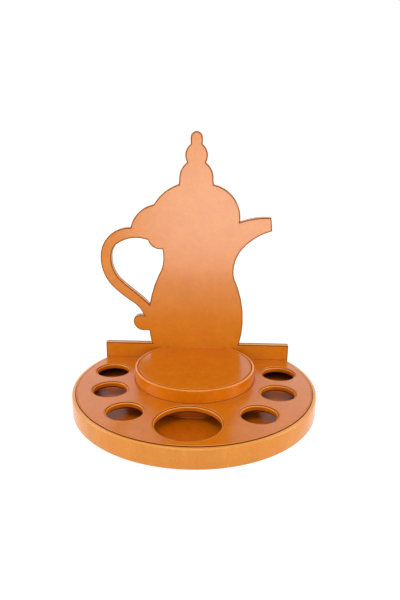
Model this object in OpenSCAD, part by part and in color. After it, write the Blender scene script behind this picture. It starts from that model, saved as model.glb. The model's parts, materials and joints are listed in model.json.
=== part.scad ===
// Coffee serving stand in stitched leather: a low hollow base with seats for six
// cups and a bowl, a raised platform for the pot, and a backboard cut to the
// outline of a dallah. Board parts carry the load, and leather is glued over them.
// X runs along the backboard, +Y to the rear and +Z up. The origin lies on the
// table, under the centre of the round base.

/* [Base] */
// Radius of the round base over its leather
base_r = 201; // [190:1:240]
// Height of the deck above the table
base_h = 32; // [26:0.5:45]
// Depth of the flat cut at the rear of the base
flat_cut = 93; // [85:1:97]
// Thickness of the curved wall and of the rear wall
wall_t = 9; // [6:0.5:12]
// Thickness of the floor panel
floor_t = 5; // [3:0.5:6]
// Thickness of the deck board
deck_t = 8; // [6:0.5:10]
// Thickness of the felt under the base
felt_t = 1.5; // [1:0.1:3]

/* [Leather] */
// Thickness of the leather bands and sleeves
leather_t = 1.2; // [0.8:0.1:1.6]
// Thickness of the top panels, which lie a little proud of the bands
panel_t = 1.4; // [1:0.1:2]
// Thickness of the leather that lines the floor
lining_t = 1; // [0.8:0.1:1.5]
// Width of the band that shows around a top panel
edge_w = 5; // [3:0.1:6]
// Radius over which a band turns onto the top
turn_r = 2.2; // [1.5:0.1:3]
// Width of the band turned under the floor
hem_w = 10; // [6:0.5:16]

/* [Cup seats] */
// Radius of a cup opening
cup_r = 27.5; // [22:0.5:29]
// Radius of the bowl opening
bowl_r = 49.3; // [40:0.5:52]
// Width of the sleeve edge that shows around an opening
lip_w = 1.8; // [1.6:0.1:2.4]
// Width of the deck outside the rear cup openings
rear_margin = 21.2; // [17:0.1:24]
// Angle of the rear cup seats above the X axis
rear_angle = 17.3; // [16:0.1:19]
// Width of the deck outside the middle cup openings
middle_margin = 33.5; // [26:0.5:36]
// Angle of the middle cup seats below the X axis
middle_angle = 12.4; // [11:0.1:15]
// Width of the deck outside the front cup openings
front_margin = 29.5; // [25:0.5:36]
// Angle of the front cup seats below the X axis
front_angle = 45.6; // [44:0.1:47]
// Sideways place of the bowl seat
bowl_x = -3.8; // [-8:0.2:8]
// Gap between the platform and the bowl opening
bowl_gap = 8.1; // [6:0.1:12]

/* [Platform] */
// Distance from the side of the base in to the side of the platform
side_w = 99; // [97:0.5:112]
// Height of the platform above the deck
platform_rise = 23; // [15:0.5:40]
// Sideways place of the platform
platform_x = -0.5; // [-3:0.5:3]
// Depth of the flat cut where the platform meets the backboard
platform_cut = 20.4; // [16:0.2:24]
// Thickness of the bent plywood under the platform leather
drum_t = 6; // [4:0.5:8]
// Thickness of the platform board
platform_t = 6; // [4:0.5:9]

/* [Backboard] */
// How far the rail reaches past each end of the flat rear
rail_over = 0.5; // [0:0.5:12]
// Height of the rail above the deck
rail_rise = 29.3; // [15:0.1:32]
// Height of the foot of the backboard above the table
rail_foot = 1; // [0.5:0.5:4]
// Thickness of the board inside the leather
board_t = 10; // [6:0.2:15]
// Sideways place of the centre line of the pot
pot_x = -3.6; // [-12:0.2:12]
// How far the front and rear panels stop short of the outline
panel_in = 0.5; // [0.3:0.1:1]

/* [Pot lid] */
// Height of the tip of the finial
finial_top = 440; // [432:0.2:470]
// Width of the finial
finial_w = 20.4; // [16:0.2:26]
// Height at which the finial meets the bulb
finial_foot = 419; // [412:0.5:422]
// Width of the bulb
bulb_w = 37.8; // [34:0.2:46]
// Width of the neck between the bulb and the bell
neck_w = 32.2; // [28:0.2:34]
// Height of the neck
neck_z = 389.2; // [382:0.2:394]
// Width of the bell where its sides turn inwards
bell_w = 58.8; // [52:0.2:66]
// Height at which the sides of the bell turn inwards
bell_z = 361; // [358:0.5:366]
// Bow of the sides of the bell above that height
bell_bow = 4; // [2:0.2:6]
// Width of the bell where it meets the lid
lid_w = 60.4; // [54:0.2:68]
// Height at which the lid meets the bell
lid_top = 352.8; // [346:0.2:356]
// Distance from the centre line to the notch over the spout
lid_right = 77.1; // [72:0.1:84]
// Height of the notch over the spout
notch_z = 289.6; // [284:0.2:294]
// Bow of the lid between the notch and the bell
lid_bow = 15.2; // [10:0.2:18]
// Bow of the lid between the bell and the handle
brow_bow = 5.1; // [2:0.1:8]

/* [Pot body] */
// Distance from the centre line to the right edge of the foot
foot_right = 81.7; // [78:0.1:88]
// Distance from the centre line to the left edge of the foot
foot_left = 80; // [74:0.2:84]
// Bow of the belly between the rail and the right waist
belly_bow = 11.3; // [6:0.1:14]
// Distance from the centre line to the right waist
waist_right = 69.4; // [66:0.1:78]
// Height of the right waist
waist_z = 187.5; // [178:0.5:192]
// Hollow of the side between the right waist and the shoulder
waist_bow = 5.6; // [3:0.1:8]
// How far the shoulder lies outside the right waist
shoulder_out = 11.1; // [6:0.1:16]
// Height of the shoulder above the waist
shoulder_rise = 51.6; // [44:0.1:58]
// Hollow under the spout
throat_bow = 5.1; // [2:0.1:8]
// Distance from the centre line to the lower corner of the spout
spout_reach = 133.5; // [120:0.5:160]
// Height of the lower corner of the spout
spout_z = 274; // [268:0.5:280]
// Width of the spout at its tip
spout_w = 23.8; // [14:0.2:30]
// How far the tip of the spout leans back
spout_lean = 2.2; // [0:0.1:6]
// Bow of the top of the spout
spout_bow = 2.9; // [1:0.1:6]

/* [Pot handle] */
// Distance from the centre line to the outermost point of the handle
handle_reach = 170.2; // [165:0.1:180]
// Height of the outermost point of the handle
handle_z = 223.7; // [218:0.1:229]
// Width of the handle at its outermost point
handle_w = 19.5; // [16:0.1:24]
// How far the joint of handle and lid lies inside the outermost point
joint_in = 96; // [90:0.5:102]
// Height of the joint above the outermost point
joint_rise = 93.7; // [88:0.1:98]
// Bow of the handle below the joint
joint_bow = 8.7; // [4:0.1:12]
// How far the crook lies inside the outermost point
crook_in = 55; // [48:0.5:62]
// Height of the crook above the outermost point
crook_rise = 53.2; // [48:0.1:58]
// Bow of the handle between the crook and the outermost point
crook_bow = 16.1; // [10:0.1:20]
// Bow of the handle between the outermost point and the elbow
grip_bow = 7.2; // [3:0.1:10]
// How far the elbow lies inside the outermost point
elbow_in = 24; // [18:0.5:30]
// Depth of the elbow below the outermost point
elbow_drop = 58.2; // [52:0.1:64]
// How far the heel lies inside the outermost point
heel_in = 51.3; // [46:0.1:56]
// Depth of the heel below the outermost point
heel_drop = 80.5; // [76:0.1:86]
// Hollow between the heel and the knob
heel_bow = 3.2; // [1:0.1:5]

/* [Knob under the handle] */
// Distance from the left edge of the foot to the end of the knob
knob_out = 33.7; // [30:0.1:38]
// Height of the end of the knob
knob_z = 104.4; // [98:0.1:108]
// Radius of the upper quarter of the knob
crown_r = 10.9; // [8:0.1:13]
// Radius of the lower quarter of the knob
chin_r = 18.4; // [15:0.1:20]
// Distance from the left edge of the foot to the notch over the knob
notch_out = 14.2; // [10:0.1:16]
// Distance from the left edge of the foot to the corner under the knob
corner_out = 4.6; // [3:0.1:8]

/* [Handle opening] */
// How far the lower arm's inner edge turns inside the inner edge of the handle
arm_in = 12.4; // [8:0.1:16]
// Depth of that turn below the outermost point
arm_drop = 38.3; // [32:0.1:44]
// Bow of the inner edge below the outermost point
arm_bow = 3.8; // [1:0.1:6]
// Distance from the left edge of the foot to the lower end of the arm
reach_out = 32.3; // [28:0.1:36]
// Depth of that end below the outermost point
reach_drop = 61.3; // [56:0.1:66]
// Distance from the left edge of the foot to the lower tip of the opening
tip_out = 3.6; // [1:0.1:8]
// Depth of the lower tip below the outermost point
tip_drop = 87.1; // [80:0.1:92]
// How far the upper corner lies inside the inner edge of the handle
upper_in = 8.8; // [5:0.1:12]
// Height of the upper corner above the outermost point
upper_rise = 22.4; // [18:0.1:26]
// Bow of the inner edge above the outermost point
upper_bow = 2.3; // [1:0.1:4]
// Bow of the top of the opening
arch_bow = 7.5; // [4:0.1:10]
// Distance from the centre line to the right end of the top
arch_reach = 84.8; // [80:0.1:90]
// Height of the right end of the top above the outermost point
arch_rise = 31.4; // [26:0.1:36]
// Hollow of the upper right edge of the opening
brace_bow = 5.7; // [2:0.1:8]
// Distance from the centre line to the upper left edge of the body
cheek_left = 59.4; // [56:0.1:64]
// Height of that edge above the outermost point
cheek_rise = 15.5; // [10:0.1:20]
// Bow of the left side of the body above the waist
cheek_bow = 4.7; // [2:0.1:8]
// Distance from the centre line to the left waist
waist_left = 66.9; // [64:0.1:72]
// Depth of the left waist below the outermost point
waist_drop = 32.4; // [26:0.1:38]
// Hollow of the left side of the body below the waist
flank_bow = 2; // [0.5:0.1:4]

/* [Screws] */
// Shank radius of the wood screws
screw_r = 2; // [1.5:0.1:2.5]
// Head radius of the wood screws
head_r = 4; // [3:0.1:4.2]
// Depth that a screw reaches into a wall
bite = 6.5; // [4:0.5:8]
// Number of screws through the floor panel
floor_screws_n = 8; // [4:2:12]
// Number of screws through the backboard
rail_screws_n = 5; // [3:1:7]

/* [Hidden] */
// Gap between pieces that are laid beside each other
seam = 0.2;
// Gap around a screw
screw_gap = 0.05;
// Turn of one straight facet along a curved outline, in degrees
arc_step = 7;
// Overlap of a cutting shape past the shape that it cuts
past = 1;
// Angle between the X axis and the rearmost floor screw on each side
screw_start = 22;
// Distance from the end of the rail to its outermost screw
screw_end = 40;
// Slight bows that keep the lower arm and the corner under the knob from looking ruled
soft_bow = 0.8;

floor_z = felt_t + floor_t;
lining_z = floor_z + lining_t;
board_z = base_h - panel_t;
deck_z = board_z - deck_t;
band_z = board_z + leather_t;
core_r = base_r - leather_t;
inner_r = core_r - wall_t;
panel_r = base_r - edge_w - seam;
flat_y = base_r - flat_cut;
rear_y = flat_y - wall_t;

platform_r = base_r - side_w;
platform_y = flat_y - platform_r + platform_cut;
platform_h = base_h + platform_rise;
platform_board_z = platform_h - panel_t;
platform_band_z = platform_board_z + leather_t;
drum_r = platform_r - leather_t;
cutout_r = platform_r + seam;
platform_panel_r = platform_r - edge_w - seam;

rail_top = base_h + rail_rise;
rail_half = sqrt(base_r * base_r - flat_y * flat_y) + rail_over;
core_y = flat_y + leather_t;
back_y = core_y + board_t;
screw_z = (floor_z + deck_z) / 2;
rail_screw_gap = 2 * (rail_half - screw_end) / (rail_screws_n - 1);
screw_ring = core_r - wall_t / 2;
floor_screw_turn = (180 + 2 * screw_start) / (floor_screws_n - 1);

// Place of a cup opening that lies margin inside the side of the base
function seat(margin, angle) = (base_r - margin - cup_r) * [cos(angle), sin(angle)];

CUPS = [seat(rear_margin, rear_angle), seat(middle_margin, -middle_angle),
        seat(front_margin, -front_angle)];
CUP_SEATS = concat(CUPS, [for (c = CUPS) [-c.x, c.y]]);
BOWL_SEAT = [bowl_x, platform_y - platform_r - bowl_gap - bowl_r];
CUP_SLEEVES = [for (i = [1 : len(CUP_SEATS)]) str("cup_sleeve_", i)];

$fn = 96;

// ---- Outlines --------------------------------------------------------------
// An outline is a list of corners [x, z, rise]. Rise is how far the stretch to the
// next corner bows out, to the right of the way travelled: 0 is straight, and a
// negative rise bows in.

// Points of the arc from a to b, with a but without b
function bow(a, b, rise) =
    let (chord = norm(b - a))
    abs(rise) < 0.01 ? [a] :
    let (
        along = (b - a) / chord,
        out = [along.y, -along.x],
        r = (chord * chord / 4 + rise * rise) / (2 * rise),
        centre = (a + b) / 2 + out * (rise - r),
        half = 2 * atan(2 * rise / chord),
        n = max(2, ceil(abs(2 * half) / arc_step))
    )
    [for (i = [0 : n - 1])
        let (t = half * (2 * i / n - 1))
        centre + r * (cos(t) * out + sin(t) * along)];

// Points of a whole closed outline
function trace(corners) =
    [for (i = [0 : len(corners) - 1])
        let (a = corners[i], b = corners[(i + 1) % len(corners)])
        each bow([a.x, a.y], [b.x, b.y], a.z)];

// The same closed outline, with every edge moved in by d
function inset(points, d) =
    let (n = len(points))
    [for (i = [0 : n - 1])
        let (
            before = points[i] - points[(i + n - 1) % n],
            after = points[(i + 1) % n] - points[i],
            u = before / norm(before),
            v = after / norm(after),
            left = [-u.y - v.y, u.x + v.x]
        )
        points[i] + left * (2 * d / (left * left))];

// The rail and the pot, anticlockwise from the lower right corner
bulb_bow = bulb_w / 2 - (neck_w + finial_w) / 4;
dome_z = finial_top - finial_w / 2;
handle_x = pot_x - handle_reach;
foot_x = pot_x - foot_left;
knob_x = foot_x - knob_out;
// Bow of a quarter circle, as a share of its radius
quarter_bow = 1 - cos(45);
BOARD_CORNERS = [
    [rail_half, rail_foot, 0],
    [rail_half, rail_top, 0],
    [pot_x + foot_right, rail_top, belly_bow],
    [pot_x + waist_right, waist_z, -waist_bow],
    [pot_x + waist_right + shoulder_out, waist_z + shoulder_rise, -throat_bow],
    [pot_x + spout_reach, spout_z, 0],
    [pot_x + spout_reach - spout_lean, spout_z + spout_w, spout_bow],
    [pot_x + lid_right, notch_z, lid_bow],
    [pot_x + lid_w / 2, lid_top, 0],
    [pot_x + bell_w / 2, bell_z, bell_bow],
    [pot_x + neck_w / 2, neck_z, bulb_bow],
    [pot_x + finial_w / 2, finial_foot, 0],
    [pot_x + finial_w / 2, dome_z, finial_w / 2],
    [pot_x - finial_w / 2, dome_z, 0],
    [pot_x - finial_w / 2, finial_foot, bulb_bow],
    [pot_x - neck_w / 2, neck_z, bell_bow],
    [pot_x - bell_w / 2, bell_z, 0],
    [pot_x - lid_w / 2, lid_top, brow_bow],
    [handle_x + joint_in, handle_z + joint_rise, joint_bow],
    [handle_x + crook_in, handle_z + crook_rise, crook_bow],
    [handle_x, handle_z, grip_bow],
    [handle_x + elbow_in, handle_z - elbow_drop, soft_bow],
    [handle_x + heel_in, handle_z - heel_drop, -heel_bow],
    [foot_x - notch_out, knob_z + crown_r, 0],
    [knob_x + crown_r, knob_z + crown_r, crown_r * quarter_bow],
    [knob_x, knob_z, chin_r * quarter_bow],
    [knob_x + chin_r, knob_z - chin_r, 0],
    [foot_x - corner_out, knob_z - chin_r, soft_bow],
    [foot_x, rail_top, 0],
    [-rail_half, rail_top, 0],
    [-rail_half, rail_foot, 0]
];

// The opening between the handle and the body, clockwise from its lower tip. Travel
// is the other way round here, so a positive rise bows towards the left of the way.
grip_x = handle_x + handle_w;
LOOP_CORNERS = [
    [foot_x - tip_out, handle_z - tip_drop, -soft_bow],
    [foot_x - reach_out, handle_z - reach_drop, soft_bow],
    [grip_x + arm_in, handle_z - arm_drop, arm_bow],
    [grip_x, handle_z, upper_bow],
    [grip_x + upper_in, handle_z + upper_rise, arch_bow],
    [pot_x - arch_reach, handle_z + arch_rise, -brace_bow],
    [pot_x - cheek_left, handle_z + cheek_rise, cheek_bow],
    [pot_x - waist_left, handle_z - waist_drop, -flank_bow]
];

BOARD_LINE = trace(BOARD_CORNERS);
LOOP_LINE = trace([for (c = LOOP_CORNERS) [c.x, c.y, -c.z]]);

// An upright plate from y to y + t, with its edges moved in by d all round
module plate(y, t, d) {
    translate([0, y + t, 0])
        rotate([90, 0, 0])
            difference() {
                linear_extrude(t) polygon(inset(BOARD_LINE, d));
                translate([0, 0, -past])
                    linear_extrude(t + 2 * past) polygon(inset(LOOP_LINE, d));
            }
}

// ---- Shared shapes ---------------------------------------------------------

// A flat disc from z to z + t, cut straight at y = rear
module disc(r, z, t, rear) {
    difference() {
        translate([0, 0, z]) cylinder(r = r, h = t, $fn = 180);
        translate([-2 * r, rear, z - past]) cube([4 * r, 2 * r, t + 2 * past]);
    }
}

// Quarter round of radius r about [x, z], from angle a, in six turns
function quarter(x, z, r, a, turn = 15) =
    [for (i = [0 : 6]) [x, z] + r * [cos(a + turn * i), sin(a + turn * i)]];

// A band of leather that stands on z, turns inwards over its top and lies flat there.
// Its hem is turned under where hem is more than 0.
module band(r, z, top, flange, hem) {
    rotate_extrude($fn = 180)
        polygon(concat(
            hem > 0 ? [[r - hem, z]] : [],
            hem > 0 ? quarter(r - leather_t, z + leather_t, leather_t, 270) : [[r, z]],
            quarter(r - turn_r, top - turn_r, turn_r, 0),
            [[r - flange, top], [r - flange, top - leather_t]],
            [[r - leather_t, top - leather_t], [r - leather_t, z + (hem > 0 ? leather_t : 0)]],
            hem > 0 ? [[r - hem, z + leather_t]] : []
        ));
}

// A sleeve that lines a hole in the deck board and turns outwards over its top
module sleeve(seat, r) {
    mouth_r = lip_w - seam;
    translate([seat.x, seat.y, 0])
        rotate_extrude()
            polygon(concat(
                [[r + leather_t, deck_z], [r, deck_z]],
                quarter(r + mouth_r, band_z - mouth_r, mouth_r, 180, -15),
                [[r + lip_w, band_z], [r + lip_w, board_z], [r + leather_t, board_z]]
            ));
}

// A countersunk wood screw that points along +Z, with its flat head at z = 0
module screw(length, gap = 0) {
    cylinder(r1 = head_r + gap, r2 = screw_r + gap, h = head_r - screw_r, $fn = 32);
    translate([0, 0, -gap]) cylinder(r = screw_r + gap, h = length + 2 * gap, $fn = 32);
}

module at_floor_screws() {
    for (i = [0 : floor_screws_n - 1])
        rotate([0, 0, screw_start - i * floor_screw_turn])
            translate([screw_ring, 0, felt_t])
                children();
}

module at_rail_screws() {
    for (i = [0 : rail_screws_n - 1])
        translate([screw_end - rail_half + i * rail_screw_gap, back_y, screw_z])
            rotate([90, 0, 0])
                children();
}

// ---- Base ------------------------------------------------------------------

module base_felt() color([0.30, 0.20, 0.14])
    disc(base_r - hem_w - seam, 0, felt_t, flat_y - seam);

module floor_panel() color([0.72, 0.58, 0.42])
    difference() {
        disc(core_r, felt_t, floor_t, flat_y);
        at_floor_screws() screw(floor_t + bite, screw_gap);
    }

module floor_lining() color([0.60, 0.32, 0.12])
    disc(inner_r - seam, floor_z, lining_t, rear_y - seam);

module curved_wall() color([0.74, 0.60, 0.44])
    difference() {
        disc(core_r, floor_z, deck_z - floor_z, flat_y);
        translate([0, 0, floor_z - past]) cylinder(r = inner_r, h = deck_z, $fn = 180);
        at_floor_screws() screw(floor_t + bite, screw_gap);
    }

module rear_wall() color([0.74, 0.60, 0.44])
    difference() {
        intersection() {
            translate([0, 0, floor_z]) cylinder(r = inner_r, h = deck_z - floor_z, $fn = 180);
            translate([-base_r, rear_y, 0]) cube([2 * base_r, wall_t, base_h]);
        }
        at_rail_screws() screw(board_t + leather_t + bite, screw_gap);
    }

module deck_board() color([0.72, 0.58, 0.42])
    difference() {
        disc(core_r, deck_z, deck_t, flat_y);
        for (c = CUP_SEATS)
            translate([c.x, c.y, deck_z - past]) cylinder(r = cup_r + leather_t, h = 2 * deck_t);
        translate([BOWL_SEAT.x, BOWL_SEAT.y, deck_z - past])
            cylinder(r = bowl_r + leather_t, h = 2 * deck_t);
        translate([platform_x, platform_y, deck_z - past])
            cylinder(r = cutout_r, h = 2 * deck_t, $fn = 180);
    }

module base_band() color([0.88, 0.56, 0.31])
    difference() {
        band(base_r, felt_t - leather_t, band_z, edge_w, hem_w);
        translate([-2 * base_r, flat_y, -past]) cube([4 * base_r, base_r, base_h + 2 * past]);
    }

module deck_leather() color([0.84, 0.50, 0.26])
    difference() {
        disc(panel_r, board_z, panel_t, flat_y - seam);
        for (c = CUP_SEATS)
            translate([c.x, c.y, board_z - past])
                cylinder(r = cup_r + lip_w + seam, h = panel_t + 2 * past);
        translate([BOWL_SEAT.x, BOWL_SEAT.y, board_z - past])
            cylinder(r = bowl_r + lip_w + seam, h = panel_t + 2 * past);
        translate([platform_x, platform_y, board_z - past])
            cylinder(r = cutout_r, h = panel_t + 2 * past, $fn = 180);
    }

module cup_sleeve(i) color([0.70, 0.38, 0.14]) sleeve(CUP_SEATS[i], cup_r);

module bowl_sleeve() color([0.70, 0.38, 0.14]) sleeve(BOWL_SEAT, bowl_r);

// ---- Platform --------------------------------------------------------------

// Cuts a shape around the platform straight at the backboard, and below the deck
// at the rear wall
module fit_platform() {
    difference() {
        translate([platform_x, platform_y, 0]) children();
        translate([-base_r, flat_y, 0]) cube([2 * base_r, base_r, 2 * platform_h]);
        translate([-base_r, rear_y, 0]) cube([2 * base_r, base_r, deck_z + seam]);
    }
}

module platform_drum() color([0.76, 0.62, 0.45])
    fit_platform()
        difference() {
            translate([0, 0, lining_z])
                cylinder(r = drum_r, h = platform_board_z - platform_t - lining_z, $fn = 180);
            cylinder(r = drum_r - drum_t, h = platform_h, $fn = 180);
        }

module platform_board() color([0.72, 0.58, 0.42])
    fit_platform()
        translate([0, 0, platform_board_z - platform_t])
            cylinder(r = drum_r, h = platform_t, $fn = 180);

module platform_band() color([0.80, 0.42, 0.10])
    fit_platform() band(platform_r, lining_z, platform_band_z, edge_w, 0);

module platform_leather() color([0.78, 0.42, 0.12])
    fit_platform()
        translate([0, 0, platform_board_z])
            cylinder(r = platform_panel_r, h = panel_t, $fn = 180);

// ---- Backboard -------------------------------------------------------------

module backboard_core() color([0.72, 0.58, 0.42])
    difference() {
        plate(core_y, board_t, leather_t);
        at_rail_screws() screw(board_t + leather_t + bite, screw_gap);
    }

module backboard_edging() color([0.90, 0.62, 0.40])
    difference() {
        plate(core_y, board_t, 0);
        plate(core_y - past, board_t + 2 * past, leather_t);
    }

module backboard_front() color([0.90, 0.58, 0.34])
    difference() {
        plate(flat_y, leather_t, panel_in);
        at_rail_screws() screw(board_t + leather_t + bite, screw_gap);
    }

module backboard_back() color([0.88, 0.55, 0.30]) plate(back_y, leather_t, panel_in);

// ---- Screws ----------------------------------------------------------------

module backboard_screws() color([0.70, 0.70, 0.72])
    at_rail_screws() screw(board_t + leather_t + bite);

module floor_screws() color([0.70, 0.70, 0.72])
    at_floor_screws() screw(floor_t + bite);

// ---- Nodes -----------------------------------------------------------------

base_felt();
floor_panel();
floor_lining();
curved_wall();
rear_wall();
deck_board();
base_band();
deck_leather();
for (i = [0 : len(CUP_SEATS) - 1])
    cup_sleeve(i);
bowl_sleeve();
platform_drum();
platform_board();
platform_band();
platform_leather();
backboard_core();
backboard_edging();
backboard_front();
backboard_back();
backboard_screws();
floor_screws();
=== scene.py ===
import json
import math

import bmesh
import bpy
from mathutils import Matrix, Vector

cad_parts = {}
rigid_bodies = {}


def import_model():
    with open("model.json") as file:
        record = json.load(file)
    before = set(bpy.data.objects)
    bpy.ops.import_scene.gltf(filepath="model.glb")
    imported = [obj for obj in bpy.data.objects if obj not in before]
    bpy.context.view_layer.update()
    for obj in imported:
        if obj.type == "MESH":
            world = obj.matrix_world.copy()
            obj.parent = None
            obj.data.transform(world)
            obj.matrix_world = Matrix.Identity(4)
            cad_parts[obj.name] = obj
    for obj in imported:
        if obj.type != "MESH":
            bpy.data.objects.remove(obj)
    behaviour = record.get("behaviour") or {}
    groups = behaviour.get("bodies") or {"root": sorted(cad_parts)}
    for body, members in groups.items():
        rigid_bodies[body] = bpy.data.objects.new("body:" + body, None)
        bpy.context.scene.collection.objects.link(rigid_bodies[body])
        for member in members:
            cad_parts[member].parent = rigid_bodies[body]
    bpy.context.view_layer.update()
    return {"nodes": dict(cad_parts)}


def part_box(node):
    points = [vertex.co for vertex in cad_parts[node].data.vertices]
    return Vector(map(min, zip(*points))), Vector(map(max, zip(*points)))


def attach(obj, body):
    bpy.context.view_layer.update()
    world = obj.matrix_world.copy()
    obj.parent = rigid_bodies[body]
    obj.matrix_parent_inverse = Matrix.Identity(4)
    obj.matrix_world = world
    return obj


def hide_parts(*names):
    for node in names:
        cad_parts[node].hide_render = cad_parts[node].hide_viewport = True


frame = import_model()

# ---- Felt ------------------------------------------------------------------
# A sheet of dark brown felt is glued under the base, inside the turned hem of the
# side leather, so that the stand doesn't scratch the table.


class Wire:
    """A socket in a material. Sums written with wires add their own Math nodes."""

    def __init__(self, tree, socket=None):
        self.tree = tree
        self.socket = socket

    def node(self, kind, settings=None, inputs=None, output=0):
        """A new node, with its settings and then its inputs, as the wire that leaves it."""
        made = self.tree.nodes.new("ShaderNode" + kind)
        for name, value in (settings or {}).items():
            if name != "stops":
                setattr(made, name, value)
                continue
            stops = made.color_ramp.elements
            while len(stops) < len(value):
                stops.new(1)
            for stop, (place, colour) in zip(stops, value):
                stop.position = place
                stop.color = colour
        for name, value in (inputs or {}).items():
            if isinstance(value, Wire):
                self.tree.links.new(value.socket, made.inputs[name])
            else:
                made.inputs[name].default_value = value
        return Wire(self.tree, made.outputs[output] if made.outputs else None)

    def sum(self, operation, first, second, clamp=False):
        return self.node("Math", {"operation": operation, "use_clamp": clamp},
                         {0: first, 1: second})

    def __add__(self, other):
        return self.sum("ADD", self, other)

    __radd__ = __add__

    def __sub__(self, other):
        return self.sum("SUBTRACT", self, other)

    def __rsub__(self, other):
        return self.sum("SUBTRACT", other, self)

    def __mul__(self, other):
        return self.sum("MULTIPLY", self, other)

    __rmul__ = __mul__

    def held(self, low, high):
        """This wire from 0 at low to 1 at high, and held there."""
        return self.node("MapRange", {"clamp": True},
                         {"Value": self, "From Min": low, "From Max": high})

    def tint(self, first, second):
        """The colour that goes from first at 0 to second at 1."""
        return self.node("Mix", {"data_type": "RGBA"}, {0: self, 6: first, 7: second},
                         output=2)

    def bump(self, depth, strength=1.0):
        return self.node("Bump", None,
                         {"Strength": strength, "Distance": depth, "Height": self})


def finish(name, make, burnt_and_shade_inputs=None, **fixed):
    """A material. make(here) gives the changing inputs, and fixed sets the plain ones.
    Where its dark mask is 1, the finish has the plain dark inputs instead, for burnished
    cut edges and for painted shade."""
    material = bpy.data.materials.new(name)
    material.use_nodes = True
    tree = material.node_tree
    shader = tree.nodes["Principled BSDF"]
    for socket, value in fixed.items():
        shader.inputs[socket.replace("_", " ")].default_value = value
    here = Wire(tree).node("TexCoord", output="Object")
    inputs = make(here)
    if burnt_and_shade_inputs:
        bare = Wire(tree, shader.outputs[0])
        both = bare.node("MixShader", None, {0: inputs.pop("Worn"), 1: bare,
                                             2: bare.node("BsdfPrincipled", None, burnt_and_shade_inputs)})
        tree.links.new(both.socket, tree.nodes["Material Output"].inputs["Surface"])
    for socket, wire in inputs.items():
        tree.links.new(wire.socket, shader.inputs[socket])
    return material


def paint(names, material):
    """Gives CAD pieces a finish."""
    for name in names:
        for slot in frame["nodes"][name].material_slots:
            slot.material = material


def felt_look(here):
    fibre = here.node("TexNoise", None, {"Vector": here, "Scale": 900, "Detail": 6,
                                         "Roughness": 0.7})
    tuft = here.node("TexVoronoi", None, {"Vector": here, "Scale": 420})
    nap = fibre * 0.7 + tuft * 0.3
    return {
        "Base Color": nap.tint((0.022, 0.012, 0.007, 1), (0.085, 0.048, 0.028, 1)),
        "Roughness": 0.82 + fibre * 0.15,
        "Normal": nap.bump(0.0006),
    }


paint(["base_felt"], finish("felt", felt_look, Sheen_Weight=0.3))

# ---- Boards ----------------------------------------------------------------
# The floor panel, walls, deck board, platform board and the upright board are
# fibreboard, coloured very dark brown as painted shade for the hollow inside, which
# shows through the openings. The wall of the platform is bent plywood.


def board_look(here):
    flakes = here.node("TexNoise", None, {"Vector": here, "Scale": 260, "Detail": 5,
                                          "Roughness": 0.65})
    cloud = here.node("TexNoise", None, {"Vector": here, "Scale": 22, "Detail": 2})
    shade = flakes * 0.65 + cloud * 0.35
    return {
        "Base Color": shade.tint((0.030, 0.008, 0.004, 1), (0.085, 0.022, 0.010, 1)),
        "Roughness": 0.7 + flakes * 0.2,
        "Normal": flakes.bump(0.0003),
    }


def plywood_look(here):
    long_way = here.node("Mapping", None, {"Vector": here, "Scale": (1, 1, 14)})
    grain = here.node("TexNoise", None, {"Vector": long_way, "Scale": 60, "Detail": 6,
                                         "Roughness": 0.6, "Distortion": 0.4})
    return {
        "Base Color": grain.tint((0.30, 0.17, 0.08, 1), (0.62, 0.44, 0.25, 1)),
        "Roughness": 0.6 + grain * 0.2,
        "Normal": grain.bump(0.0002),
    }


# Their very dark brown is painted shade inside the base.
paint(["floor_panel", "curved_wall", "rear_wall", "deck_board", "platform_board",
       "backboard_core"], finish("board", board_look))
paint(["platform_drum"], finish("plywood", plywood_look))

# ---- Screws ----------------------------------------------------------------
# Zinc-plated countersunk wood screws, through the floor and through the upright
# board. Leather covers both rows.


def zinc_look(here):
    lathe = here.node("TexNoise", None, {"Vector": here, "Scale": 700, "Detail": 3})
    return {
        "Base Color": lathe.tint((0.42, 0.42, 0.44, 1), (0.66, 0.66, 0.69, 1)),
        "Roughness": 0.28 + lathe * 0.2,
        "Normal": lathe.bump(0.00005),
    }


paint(["backboard_screws", "floor_screws"], finish("zinc", zinc_look, Metallic=1.0))

# ---- Lining of the floor ---------------------------------------------------
# Smooth tan leather is glued on the floor panel, and the cups and the bowl stand on it.
# It is the same hide as that of the other leather pieces, with less gloss, and a
# redder colour than theirs that is painted shade for the hollow under the deck.


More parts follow.
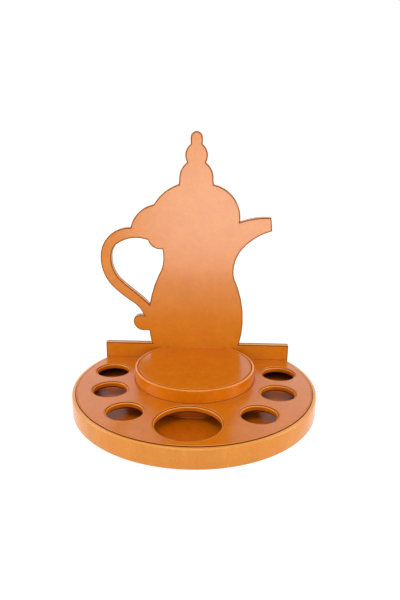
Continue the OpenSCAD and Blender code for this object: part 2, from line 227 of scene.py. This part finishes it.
def hide(base, deep, gloss=0.16, darkening=None, streak=1.0):
    """The look of smooth tan leather. It is dark where the attribute edge is 1 or the
    darkening given to it gives 1, for burnished cut edges and for painted shade, and
    has a painted highlight where edge is -1. A streak below 1 draws the clouds of its
    colour out upwards."""
    def look(here):
        drawn = here.node("Mapping", None, {"Vector": here, "Scale": (1, 1, streak)})
        cloud = here.node("TexNoise", None, {"Vector": drawn, "Scale": 26, "Detail": 3,
                                             "Roughness": 0.6})
        mottle = here.node("TexNoise", None, {"Vector": drawn, "Scale": 110, "Detail": 4,
                                              "Roughness": 0.65})
        warped = here.node("TexNoise", None, {"Vector": here, "Scale": 400}, output=1)
        bent = here.node("Mix", {"data_type": "VECTOR"}, {0: 0.0006, 4: here, 5: warped},
                         output=1)
        pebble = here.node("TexVoronoi", {"feature": "DISTANCE_TO_EDGE"},
                           {"Vector": bent, "Scale": 820})
        grain = pebble.held(0.0, 0.35)
        pore = here.node("TexNoise", None, {"Vector": here, "Scale": 2300, "Detail": 2})
        edge = here.node("Attribute", {"attribute_name": "edge"}, output="Fac")
        tone = (cloud * 0.5 + mottle * 0.5).held(0.38, 0.62)
        raised = (grain * 0.8 + pore * 0.2).held(0.0, 0.9)
        pit = (deep[0] * 0.82, deep[1] * 0.74, deep[2] * 0.6, 1)
        # A painted highlight on rolled and rounded edges.
        painted_highlight = (min(1, base[0] * 1.14), base[1] * 1.3, base[2] + 0.04, 1)
        skin = raised.tint(pit, tone.tint(deep, base))
        highlighted = (0 - edge).held(0.0, 1.0).tint(skin, painted_highlight)
        # Dark for burnished cut edges and for painted shade in seams and creases.
        dark = darkening(here) if darkening else edge
        burnt_and_shade_mask = (dark + mottle * 0.3 - 0.15).held(0.05, 0.95)
        return {
            "Base Color": highlighted,
            "Roughness": gloss + mottle * 0.08 - grain * 0.03,
            "Normal": (grain * 0.7 + pore * 0.3 + mottle * 0.6).bump(0.00005, 0.25),
            "Worn": burnt_and_shade_mask,
        }
    return look


# The dark finish of burnished cut edges, and also of painted shade in seams, creases and along
# the upright board.
BURNT_AND_SHADE = {"Base Color": (0.20, 0.036, 0.002, 1), "Roughness": 0.8, "Specular IOR Level": 0.12}
# The lining is redder than the top leather: painted shade for the hollow under the deck.
LINING_SHADED = (0.84, 0.200, 0.001, 1)
LINING_SHADED_DEEP = (0.68, 0.138, 0.001, 1)
paint(["floor_lining"], finish("leather_lining", hide(LINING_SHADED, LINING_SHADED_DEEP, gloss=0.26), BURNT_AND_SHADE,
                               Specular_IOR_Level=0.28))

# ---- Side of the base ------------------------------------------------------
# One long strip of leather goes round the curved wall. It turns inwards over the deck
# board in a soft roll and is turned again under the floor, and both are glued.


def piece_from(name, mesh):
    """A new piece that shows this mesh, and is the only one selected."""
    bpy.ops.object.select_all(action="DESELECT")
    piece = bpy.data.objects.new(name, mesh)
    bpy.context.collection.objects.link(piece)
    piece.select_set(True)
    bpy.context.view_layer.objects.active = piece
    return piece


def turned(name, centre, profile, sides=360):
    """A ring turned about an upright axis from a closed profile of radius and height."""
    x, y = centre
    radius, height = profile[0]
    bpy.ops.object.select_all(action="DESELECT")
    bpy.ops.mesh.primitive_circle_add(vertices=sides, radius=radius, location=(x, y, height))
    ring = bpy.context.object
    ring.name = name
    bpy.ops.object.transform_apply(location=True, rotation=True, scale=True)
    bpy.ops.object.mode_set(mode="EDIT")
    bpy.ops.mesh.select_all(action="SELECT")
    for wider, higher in profile[1:] + profile[:1]:
        bpy.ops.mesh.extrude_edges_move(
            TRANSFORM_OT_translate={"value": (0, 0, higher - height)})
        bpy.ops.transform.resize(value=(wider / radius, wider / radius, 1),
                                 center_override=(x, y, higher))
        radius, height = wider, higher
    bpy.ops.mesh.select_all(action="SELECT")
    bpy.ops.mesh.remove_doubles(threshold=0.000005)
    bpy.ops.mesh.normals_make_consistent(inside=False)
    return ring


def cut_at(rear):
    """Cuts the piece in edit mode straight at y = rear, and closes the cut. The flat ends
    are split into triangles, because Blender splits them another way in some runs."""
    bpy.ops.mesh.select_all(action="SELECT")
    bpy.ops.mesh.bisect(plane_co=(0, rear, 0), plane_no=(0, 1, 0), use_fill=True,
                        clear_outer=True)
    bpy.ops.mesh.quads_convert_to_tris(ngon_method="BEAUTY")


def done(piece, material, slot, *nodes):
    """Ends the work on a piece: its shading, finish and place on the stand."""
    if bpy.context.mode != "OBJECT":
        bpy.ops.object.mode_set(mode="OBJECT")
    bpy.ops.object.select_all(action="DESELECT")
    piece.select_set(True)
    bpy.context.view_layer.objects.active = piece
    bpy.ops.object.shade_smooth_by_angle(angle=math.radians(35))
    piece.data.materials.clear()
    piece.data.materials.append(material)
    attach(piece, "root")
    if nodes:
        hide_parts(*nodes)


def rolled(x, z, radius, start, turns=6):
    """Corners of a quarter round about x, z, from the angle start."""
    return [(x + radius * math.cos(start + math.pi / 2 * i / turns),
             z + radius * math.sin(start + math.pi / 2 * i / turns))
            for i in range(turns + 1)]


def mark_burnish_shade_highlight(piece, amount):
    """Marks the leather: amount(corner) is 1 for dark, for burnished cut edges and painted
    shade, and -1 for a painted highlight.
    """
    edge = piece.data.attributes.new("edge", "FLOAT", "POINT")
    for corner, value in zip(piece.data.vertices, edge.data):
        value.value = amount(corner.co)


LEATHER = 0.0012
ROLL = 0.0020
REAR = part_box("base_band")[1].y


def folded_hem(radius, foot):
    """The folded hem of a side leather that ends on the floor lining."""
    return [(radius, foot), (radius + 0.0008, foot + 0.0004), (radius + 0.0011, foot + 0.0011),
            (radius + 0.0008, foot + 0.0020), (radius, foot + 0.0026)]


def side_profile(radius, foot, top, hem, flange, roll=ROLL):
    """Outline of a side leather: foot, wall, roll, and flange with a rounded inner edge,
    then back inside."""
    under = [(radius - hem, foot)] if hem else []
    foot_round = (rolled(radius - LEATHER, foot + LEATHER, LEATHER, -math.pi / 2)
                  if hem else folded_hem(radius, foot))
    back = [(radius - LEATHER, foot + LEATHER), (radius - hem, foot + LEATHER)]
    return (under + foot_round + rolled(radius - roll, top - roll, roll, 0)
            + [(radius - flange + 0.0010, top), (radius - flange + 0.0004, top - 0.0002),
               (radius - flange, top - 0.0007), (radius - flange, top - LEATHER),
               (radius - LEATHER, top - LEATHER)]
            + (back if hem else [(radius - LEATHER, foot)]))


low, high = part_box("base_band")
BASE_RADIUS = high.x
HEM = 0.010  # width of the leather that is turned under the floor
FLANGE = 0.0058  # from the side to the inner edge of the leather on the deck
SEAM_WIDTH = 0.0005
SEAM_DEPTH = 0.0030
side = turned("side_leather", (0, 0), side_profile(BASE_RADIUS, low.z, high.z, HEM, FLANGE))
cut_at(REAR)
bpy.ops.object.mode_set(mode="OBJECT")


def band_shade_and_highlight(reach, height, top, highlight):
    """How a side leather is marked, reach outside the inner edge of its flange: dark in the
    seam there, a burnished cut end with painted shade of the seam, and a painted
    highlight where it rolls over."""
    # The burnished cut end, with painted shade of the seam.
    if reach < SEAM_WIDTH:
        return 1.0 if height > top - SEAM_DEPTH else 0.0
    # A painted highlight on top of the roll.
    return -highlight if height > top - 0.4 * ROLL else 0.0


mark_burnish_shade_highlight(side, lambda p: band_shade_and_highlight(math.hypot(p.x, p.y) - BASE_RADIUS + FLANGE, p.z, high.z, 0.3))
TAN = (0.91, 0.362, 0.036, 1)
TAN_DEEP = (0.79, 0.276, 0.018, 1)
band_leather = finish("leather_band", hide(TAN, TAN_DEEP, streak=0.3), BURNT_AND_SHADE)
done(side, band_leather, "leather_band", "base_band")

# ---- Top leather of the deck -----------------------------------------------
# One panel of leather lies inside the turned edge of the side leather. Its cut edges
# are rounded and burnished, with a painted highlight on the rounding and painted shade
# along the upright board, and a row of stitches in a pressed groove follows them.


def rims(piece):
    """The closed lines of corners round the selected faces, always in the same order."""
    mesh = bmesh.from_edit_mesh(piece.data)
    rim = [e for e in mesh.edges if sum(f.select for f in e.link_faces) == 1]
    joined = {}
    for e in rim:
        for v in e.verts:
            joined.setdefault(v, []).append(e)
    lines, left = [], dict.fromkeys(rim)
    while left:
        e = next(iter(left))
        del left[e]
        line = [e.verts[0], e.verts[1]]
        while True:
            step = [n for n in joined[line[-1]] if n in left]
            if not step:
                break
            del left[step[0]]
            line.append(step[0].other_vert(line[-1]))
        lines.append([v.co.copy() for v in line[:-1]])
    return lines


def choose(piece, kind, test):
    """Selects the faces or edges of the piece in edit mode for which test is true."""
    bpy.ops.mesh.select_mode(type=kind)
    bpy.ops.mesh.select_all(action="DESELECT")
    mesh = bmesh.from_edit_mesh(piece.data)
    mesh.normal_update()
    for part in mesh.faces if kind == "FACE" else mesh.edges:
        if test(part):
            part.select_set(True)
    mesh.select_flush_mode()
    bmesh.update_edit_mesh(piece.data)


NEAR = 0.00001  # heights closer than this are the same
AT_BOARD = 0.0010  # an edge this close to the upright board stays sharp
GROOVE = 0.0003  # depth of the groove and width of each of its steps
THREAD_STEP = 2  # the step in the middle of the groove


def stitched_panel(node, name, facing, bevel, rim_burnish_and_light, marked_steps=2, trim=None):
    """A panel of leather over a CAD panel, with its edge rounded and a groove pressed
    along it. Its rim function of corner and drop below its face gives how the rim is
    marked, with burnish, painted shade and painted highlight as each panel needs, as far
    in as the marked steps of the groove. Gives the piece and the lines of its stitches."""
    facing = Vector(facing)
    piece = piece_from(name, frame["nodes"][node].data.copy())
    bpy.ops.object.mode_set(mode="EDIT")
    bpy.ops.mesh.select_all(action="SELECT")
    bpy.ops.mesh.customdata_custom_splitnormals_clear()
    bpy.ops.mesh.remove_doubles(threshold=0.000005)
    bpy.ops.mesh.dissolve_limited(angle_limit=math.radians(1))
    if trim:
        trim(piece)
    level = max(v.co.dot(facing) for v in bmesh.from_edit_mesh(piece.data).verts)

    def on_top(vertex):
        return vertex.co.dot(facing) > level - NEAR

    def against_board(edge):
        return facing.z > 0.5 and all(v.co.y > REAR - AT_BOARD for v in edge.verts)

    choose(piece, "EDGE", lambda e: all(map(on_top, e.verts)) and len(e.link_faces) == 2
           and any(f.normal.dot(facing) < 0.5 for f in e.link_faces)
           and not against_board(e))
    bpy.ops.mesh.bevel(offset=bevel, segments=3, affect="EDGES")
    choose(piece, "FACE", lambda f: f.normal.dot(facing) > 0.999 and all(map(on_top, f.verts)))
    field = set()
    for i, rise in enumerate([0, -GROOVE, 0, 0, GROOVE]):
        bpy.ops.mesh.inset(thickness=GROOVE, depth=rise, use_boundary=True,
                           use_even_offset=True)
        if i == THREAD_STEP:
            lines = rims(piece)
        if i >= marked_steps:
            field |= {tuple(v.co) for f in bmesh.from_edit_mesh(piece.data).faces
                      if f.select for v in f.verts}
    bpy.ops.object.mode_set(mode="OBJECT")

    mark_burnish_shade_highlight(piece, lambda p: 0.0 if tuple(p) in field else rim_burnish_and_light(p, level - p.dot(facing)))
    return piece, lines


# The dark line along the upright board is painted shade.
PAINTED_SHADE_REAR = 0.0012  # width of the dark line along the upright board
CUT_BELOW = 0.0004  # the bare cut of the leather starts this far below its face


def deck_burnish_shade_highlight(corner, drop):
    """The edge has a painted highlight over a dark, burnished cut, and painted shade against
    the upright board.
    """
    # Painted shade along the upright board; the cut below the face is burnished.
    if corner.y > REAR - PAINTED_SHADE_REAR or drop > CUT_BELOW:
        return 1.0
    return -0.8 if drop > NEAR else 0.0


PADDING = 0.0011  # how far the panel stands above its plain CAD shape
GAP = 0.0004  # between the panel and the flange of the side leather
RIM = 0.0005  # corners this close to the outer radius are on the rim
REAR_CORNERS = 0.0030  # the rim's ends within this of the rear stay in place


def deck_trim(piece):
    """Thickens the panel, which stands proud of the side leather, and clears its flange."""
    mesh = bmesh.from_edit_mesh(piece.data)
    top = max(v.co.z for v in mesh.verts)
    outer = max(math.hypot(v.co.x, v.co.y) for v in mesh.verts)
    choose(piece, "FACE", lambda f: f.normal.z > 0.999)
    bpy.ops.transform.translate(value=(0, 0, PADDING))
    choose(piece, "EDGE", lambda e: all(
        math.hypot(v.co.x, v.co.y) > outer - RIM and v.co.y < REAR - REAR_CORNERS
        for v in e.verts))
    less = (BASE_RADIUS - FLANGE - GAP) / outer
    bpy.ops.transform.resize(value=(less, less, 1), center_override=(0, 0, top))


deck, deck_lines = stitched_panel("deck_leather", "deck_leather_top", (0, 0, 1), bevel=0.0005,
                                  rim_burnish_and_light=deck_burnish_shade_highlight, trim=deck_trim, marked_steps=1)
RUSSET = (0.82, 0.240, 0.001, 1)
RUSSET_DEEP = (0.69, 0.174, 0.001, 1)
top_leather = finish("leather_top", hide(RUSSET, RUSSET_DEEP), BURNT_AND_SHADE,
                     Specular_IOR_Level=0.45)
done(deck, top_leather, "leather_top", "deck_leather")

# ---- Stitches of the deck --------------------------------------------------
# Waxed thread, sewn by machine at about 11 stitches to 25 mm. Each stitch lies in the
# groove, and its ends go down through the leather.


def thread_look(here):
    ply = here.node("TexNoise", None, {"Vector": here, "Scale": 3000, "Detail": 2})
    return {
        "Base Color": ply.tint((0.52, 0.18, 0.030, 1), (0.80, 0.34, 0.080, 1)),
        "Roughness": 0.45 + ply * 0.2,
        "Normal": ply.bump(0.00006),
    }


thread = finish("thread", thread_look)
PITCH = 0.00235  # from one stitch to the next
MIDDLE = 0.45  # the middle of a stitch and each of its ends, as parts of the pitch
SLOPE = 0.20
THREAD = 0.00028  # radius of the thread, whose ends are THINNER
THINNER = 0.6
CROWN = 0.00010  # the middle of a stitch lies this far above its line
DIP = 0.00022  # and its ends this far below its middle


def stitch_row(name, flat):
    """Stitches in one piece along a closed line that lies in the plane of X and Y. The
    middle of a stitch lies on top, and both ends slope down and get thinner."""
    path = bpy.data.curves.new(name + "_line", "CURVE")
    path.dimensions = "2D"
    spline = path.splines.new("POLY")
    spline.points.add(len(flat) - 1)
    for point, (x, y) in zip(spline.points, flat):
        point.co = (x, y, 0, 1)
    spline.use_cyclic_u = True
    guide = bpy.data.objects.new(name + "_line", path)
    bpy.context.collection.objects.link(guide)
    count = round(spline.calc_length() / PITCH)
    step = spline.calc_length() / count
    bpy.ops.object.select_all(action="DESELECT")
    bpy.ops.mesh.primitive_cylinder_add(vertices=6, radius=THREAD, depth=MIDDLE * step,
                                        location=(0.5 * step, 0, CROWN),
                                        rotation=(0, math.pi / 2, 0))
    row = bpy.context.object
    row.name = name
    bpy.ops.object.transform_apply(location=True, rotation=True, scale=True)
    bpy.ops.object.mode_set(mode="EDIT")
    for way in (-1, 1):
        choose(row, "FACE", lambda f: f.normal.x * way > 0.9)
        bpy.ops.mesh.extrude_region_move(
            TRANSFORM_OT_translate={"value": (way * SLOPE * step, 0, -DIP)})
        bpy.ops.transform.resize(value=(1, THINNER, THINNER), center_override=(
            (0.5 + way * (MIDDLE / 2 + SLOPE)) * step, 0, CROWN - DIP))
    bpy.ops.object.mode_set(mode="OBJECT")
    array = row.modifiers.new("Stitches", "ARRAY")
    array.fit_type = "FIXED_COUNT"
    array.count = count
    array.use_relative_offset = False
    array.use_constant_offset = True
    array.constant_offset_displace = (step, 0, 0)
    along = row.modifiers.new("Along the line", "CURVE")
    along.object = guide
    for modifier in ("Stitches", "Along the line"):
        bpy.ops.object.modifier_apply(modifier=modifier)
    bpy.data.objects.remove(guide)
    return row


def sew(name, lines, place, rear=None):
    """All the stitches of one panel, put there by place. None is sewn behind rear."""
    rows = [stitch_row(f"{name}_{i}", line) for i, line in enumerate(lines)]
    bpy.ops.object.select_all(action="DESELECT")
    for row in rows:
        row.data.transform(place)
        row.select_set(True)
    bpy.context.view_layer.objects.active = rows[0]
    bpy.ops.object.join()
    rows[0].name = name
    if rear:
        bpy.ops.object.mode_set(mode="EDIT")
        choose(rows[0], "EDGE", lambda e: any(v.co.y > rear for v in e.verts))
        bpy.ops.mesh.select_linked()
        bpy.ops.mesh.delete(type="VERT")
        bpy.ops.object.mode_set(mode="OBJECT")
    return rows[0]


SUNK = 0.0002  # the line of the stitches lies this far below the face
SEWN_REAR = REAR - 0.004  # nothing is sewn closer to the upright board
deck_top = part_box("deck_leather")[1].z + PADDING
deck_thread = sew("deck_stitches", [[(p.x, p.y) for p in line] for line in deck_lines],
                  Matrix.Translation((0, 0, deck_top - SUNK)), SEWN_REAR)
done(deck_thread, thread, "leather_top")

# ---- Sleeves of the openings -----------------------------------------------
# A leather sleeve lines each opening of the deck board and turns out over its top, so
# that its rolled lip shows as a ring inside the edge of the top leather.

LIP = 0.0018  # width of the lip
MOUTH = 0.0012  # how wide its rounded inner edge is, and half how high
CORNER = 0.0004
RUN_OUT = 0.0002  # between the lip and the hole of the top leather
FOOT_LIFT = 0.0018  # the leather ends this far above the foot of the CAD sleeve
sleeve_leather = finish("leather_sleeve", hide(RUSSET, RUSSET_DEEP), BURNT_AND_SHADE,
                        Specular_IOR_Level=0.32)


def sleeve(node, sides):
    """A sleeve with a rolled lip, burnished and with painted shade in the seam round it, and a
    painted highlight on the lip.
    """
    low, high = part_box(node)
    x, y = (low.x + high.x) / 2, (low.y + high.y) / 2
    lip = (high.x - low.x) / 2
    hole = lip - LIP
    rim = lip - RUN_OUT
    top, foot = high.z, low.z + FOOT_LIFT
    roll = [math.pi / 12 * i for i in range(7)]
    mouth = [(hole + MOUTH * (1 - math.cos(a)), top - 2 * MOUTH * (1 - math.sin(a)))
             for a in roll]
    ring = turned(node + "_lip", (x, y), [
        (hole + LEATHER, foot), (hole + CORNER, foot), (hole, foot + CORNER), *mouth,
        (rim - RUN_OUT, top - 0.0001), (rim, top - 0.0010), (rim, top - LEATHER),
        (hole + LEATHER, top - LEATHER)], sides)
    bpy.ops.object.mode_set(mode="OBJECT")

    def lip_shade_and_highlight(corner):
        # The lip's burnished cut end, with painted shade of the seam.
        if math.hypot(corner.x - x, corner.y - y) > lip - SEAM_WIDTH:
            return 1.0
        # A painted highlight on top of the lip.
        return -1.0 if corner.z > top - 1.2 * MOUTH else 0.0

    mark_burnish_shade_highlight(ring, lip_shade_and_highlight)
    done(ring, sleeve_leather, "leather_band", node)


sleeve("bowl_sleeve", 240)
for name in sorted(frame["nodes"]):
    if name.startswith("cup_sleeve"):
        sleeve(name, 144)

# ---- Platform --------------------------------------------------------------
# The raised seat of the pot: its side leather goes down through the deck to the floor,
# where it ends in a folded hem, and its top leather lies inside the rolled edge.

low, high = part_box("platform_band")
PLATFORM_RADIUS = (high.x - low.x) / 2
PLATFORM_CENTRE = ((low.x + high.x) / 2, low.y + PLATFORM_RADIUS)
PLATFORM_FLANGE = 0.0046
PLATFORM_ROLL = 0.0018
CREASE = deck_top - 0.0002  # where the wall meets the top leather of the deck
hem_corners = len(folded_hem(PLATFORM_RADIUS, low.z))
profile = side_profile(PLATFORM_RADIUS, low.z, high.z, 0, PLATFORM_FLANGE, PLATFORM_ROLL)
profile[hem_corners:hem_corners] = [
    (PLATFORM_RADIUS, height) for height in (CREASE - 0.0010, CREASE, CREASE + 0.0016)]
wall = turned("platform_side_leather", PLATFORM_CENTRE, profile)
cut_at(REAR)
bpy.ops.object.mode_set(mode="OBJECT")


def wall_shade_and_highlight(corner):
    """Painted shade in the crease above the deck too, where the wall meets the top leather."""
    # Painted shade where the wall stands on the deck.
    if abs(corner.z - CREASE) < NEAR:
        return 0.9
    reach = math.hypot(corner.x - PLATFORM_CENTRE[0], corner.y - PLATFORM_CENTRE[1])
    return band_shade_and_highlight(reach - PLATFORM_RADIUS + PLATFORM_FLANGE, corner.z, high.z, 0.75)


mark_burnish_shade_highlight(wall, wall_shade_and_highlight)
done(wall, sleeve_leather, "leather_band", "platform_band")

seat, seat_lines = stitched_panel("platform_leather", "platform_leather_top", (0, 0, 1),
                                  bevel=0.0006,
                                  rim_burnish_and_light=lambda p, drop: 0.7 if drop > 0.0005 else 0.0)
done(seat, top_leather, "leather_top", "platform_leather")
seat_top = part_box("platform_leather")[1].z
seat_thread = sew("platform_stitches", [[(p.x, p.y) for p in line] for line in seat_lines],
                  Matrix.Translation((0, 0, seat_top - SUNK)), SEWN_REAR)
done(seat_thread, thread, "leather_top")

# ---- Backboard -------------------------------------------------------------
# The upright board has a leather panel on each face, stitched close to its edge, and a
# strip of leather glued round its edge between the two.

HONEY = (0.79, 0.268, 0.005, 1)
HONEY_DEEP = (0.67, 0.200, 0.002, 1)
DARK_REACH = 0.0036  # width of the darker rear of the edge strip
DARK_FADE = 0.0006
board_leather = finish("leather_backboard", hide(HONEY, HONEY_DEEP, gloss=0.18), BURNT_AND_SHADE)
front_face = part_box("backboard_front")[0].y
back_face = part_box("backboard_back")[1].y
strip_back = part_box("backboard_edging")[1].y
board_lines = {}
for face, facing in (("front", (0, -1, 0)), ("back", (0, 1, 0))):
    panel, board_lines[face] = stitched_panel(
        f"backboard_{face}", f"backboard_{face}_leather", facing, bevel=0.0005,
        rim_burnish_and_light=lambda p, drop: 1.0, marked_steps=3)
    done(panel, board_leather, "leather_backboard", f"backboard_{face}")

upright = Matrix.Rotation(math.pi / 2, 4, "X")
turned_round = Matrix.Rotation(math.pi, 4, "Z") @ upright
for face, across, place in (
        ("front", 1, Matrix.Translation((0, front_face + SUNK, 0)) @ upright),
        ("back", -1, Matrix.Translation((0, back_face - SUNK, 0)) @ turned_round)):
    row = sew(f"backboard_{face}_stitches",
              [[(across * p.x, p.z) for p in line] for line in board_lines[face]], place)
    done(row, thread, "leather_backboard")


def dark_rear(here):
    """1 along the rear of the edge strip, which is darker there."""
    depth = here.node("SeparateXYZ", None, {0: here}, output=1)
    return depth.held(strip_back - DARK_REACH, strip_back - DARK_REACH + DARK_FADE)


paint(["backboard_edging"],
      finish("leather_edging", hide(TAN, TAN_DEEP, darkening=dark_rear), BURNT_AND_SHADE))

# ---- Table, light and camera -----------------------------------------------
# The stand is on a plain white table in soft light from all round, with large soft
# lamps. The table stays white to the camera and in reflections, and keeps the shadow.

bpy.ops.object.select_all(action="DESELECT")
bpy.ops.mesh.primitive_plane_add(size=12, location=(0, 5.22, -0.0003))
table = bpy.context.object
table.name = "table"
bpy.ops.object.transform_apply(location=True, rotation=True, scale=True)


def emptied(holder):
    """The bare node tree of a material or world, as a wire to start from."""
    holder.use_nodes = True
    holder.node_tree.nodes.clear()
    return Wire(holder.node_tree)


def seen_directly(start):
    """1 for rays that show a white surrounding, 0 for those that carry its soft light."""
    return (start.node("LightPath", output="Is Camera Ray")
            + start.node("LightPath", output="Is Glossy Ray")
            + start.node("LightPath", output="Is Transmission Ray")).held(0, 1)


white = bpy.data.materials.new("white_table")
start = emptied(white)
dull = start.node("BsdfDiffuse", None, {"Color": (0.80, 0.80, 0.80, 1)})
faint = start.node("BsdfDiffuse", None, {"Color": (0.22, 0.22, 0.22, 1)})
glow = start.node("Emission", None, {"Color": (1, 1, 1, 1), "Strength": 0.90})
lit = start.node("AddShader", None, {0: faint, 1: glow})
shown = start.node("MixShader", None, {0: seen_directly(start), 1: dull, 2: lit})
start.node("OutputMaterial", None, {"Surface": shown})
table.data.materials.append(white)

world = bpy.data.worlds.new("white_room")
bpy.context.scene.world = world
start = emptied(world)
soft = start.node("Background", None, {"Color": (1, 1, 1, 1), "Strength": 0.585})
bright = start.node("Background", None, {"Color": (1, 1, 1, 1), "Strength": 1.0})
shown = start.node("MixShader", None, {0: seen_directly(start), 1: soft, 2: bright})
start.node("OutputWorld", None, {"Surface": shown})


def soft_lamp(name, place, target, size, watts):
    """A soft lamp at place that faces target, out of the camera's sight."""
    lamp = bpy.data.lights.new(name, "AREA")
    lamp.shape = "RECTANGLE"
    lamp.size, lamp.size_y = size
    lamp.energy = watts
    holder = bpy.data.objects.new(name, lamp)
    holder.location = place
    holder.rotation_euler = (Vector(target) - Vector(place)).to_track_quat("-Z", "Y").to_euler()
    holder.visible_camera = False
    bpy.context.collection.objects.link(holder)


soft_lamp("lamp_over", (-0.2, -0.8, 3.0), (0, 0, 0.1), (1.4, 1.4), 15)
soft_lamp("lamp_front", (0.15, -2.5, 0.07), (0.15, 0, 0.07), (1.30, 0.945), 23)
soft_lamp("lamp_left", (-1.3, -0.2, 0.30), (0, 0, 0.1), (0.8, 0.8), 7)
soft_lamp("lamp_right", (1.3, -0.2, 0.30), (0, 0, 0.1), (0.8, 0.8), 7)
soft_lamp("lamp_rear_left", (-0.85, 1.5, 0.8), (0, 0, 0.05), (1.0, 1.2), 1.6)
soft_lamp("lamp_rear_right", (0.80, 1.5, 0.8), (0, 0, 0.05), (1.0, 1.2), 1.6)

view = bpy.data.cameras.new("camera")
view.lens = 31.714
view.sensor_width = 36
camera = bpy.data.objects.new("camera", view)
camera.location = (0.02976, -0.81465, 0.41799)
camera.rotation_euler = [math.radians(turn) for turn in (73.632, -0.618, 1.723)]
bpy.context.collection.objects.link(camera)
bpy.context.scene.camera = camera
bpy.context.scene.view_settings.view_transform = "Standard"
